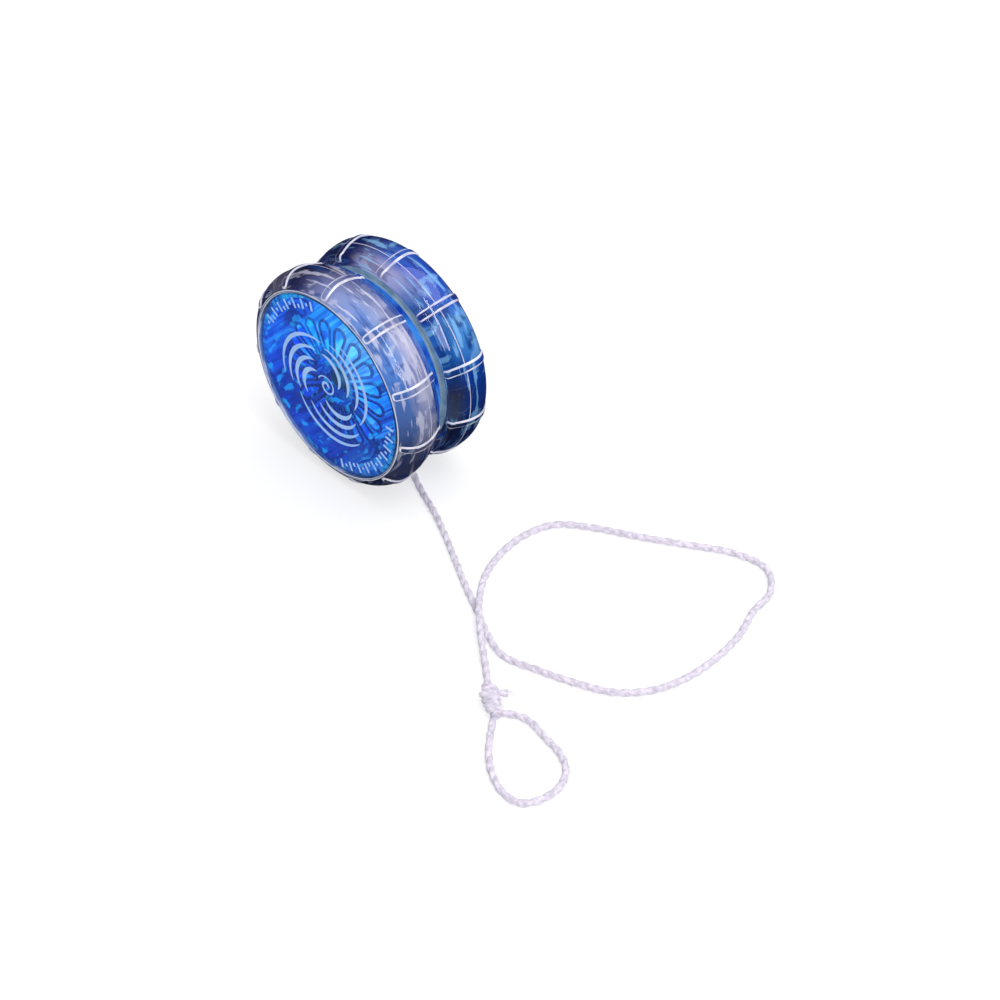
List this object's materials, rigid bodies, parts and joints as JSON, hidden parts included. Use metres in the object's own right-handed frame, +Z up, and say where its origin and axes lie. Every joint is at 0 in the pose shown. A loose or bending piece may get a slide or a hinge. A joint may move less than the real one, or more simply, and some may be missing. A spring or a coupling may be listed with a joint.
{
  "type": "yo-yo",
  "caption": "Ball-bearing yo-yo with clear ribbed grip rims, translucent blue starburst halves, and a white twisted string with a knotted finger loop.",
  "frame": {"origin": "on the table, under the middle of the axle, midway between the two halves", "axes": "+Z up, +Y along the axle towards the rear half, +X towards the side where the string leaves"},
  "size_m": [0.1389, 0.0939, 0.0574],
  "materials": {
    "clear_rim": "clear moulded plastic",
    "blue_core": "translucent blue moulded plastic",
    "blue_cap": "clear blue plastic",
    "silicone": "matt silicone",
    "steel": "bright steel",
    "brass": "turned brass",
    "cage": "moulded nylon",
    "cord": "twisted white string"
  },
  "bodies": {
    "string_side": {"bearing_outer_ring": "steel", "bearing_front_shield": "steel", "bearing_rear_shield": "steel", "wound_string": "cord", "string": "cord", "knot": "cord", "finger_loop": "cord"},
    "wheel": {"front_rim_shell": "clear_rim", "front_core": "blue_core", "front_face_cap": "blue_cap", "front_response_pad": "silicone", "front_hex_nut": "steel", "front_spacer": "brass", "rear_rim_shell": "clear_rim", "rear_core": "blue_core", "rear_face_cap": "blue_cap", "rear_response_pad": "silicone", "rear_hex_nut": "steel", "rear_spacer": "brass", "axle": "steel", "bearing_inner_ring": "steel"},
    "ball_set": {"bearing_balls": "steel", "bearing_cage": "cage"}
  },
  "joints": [
    {"name": "spin", "type": "hinge", "parent": "string_side", "child": "wheel", "pos_m": [0, 0, 0.0285], "axis": [0, 1, 0], "continuous": true},
    {"name": "ball_spin", "type": "hinge", "parent": "string_side", "child": "ball_set", "pos_m": [0, 0, 0.0285], "axis": [0, 1, 0], "continuous": true}
  ],
  "couplings": [
    {"joint": "ball_spin", "follows": "spin", "ratio": 0.417}
  ]
}
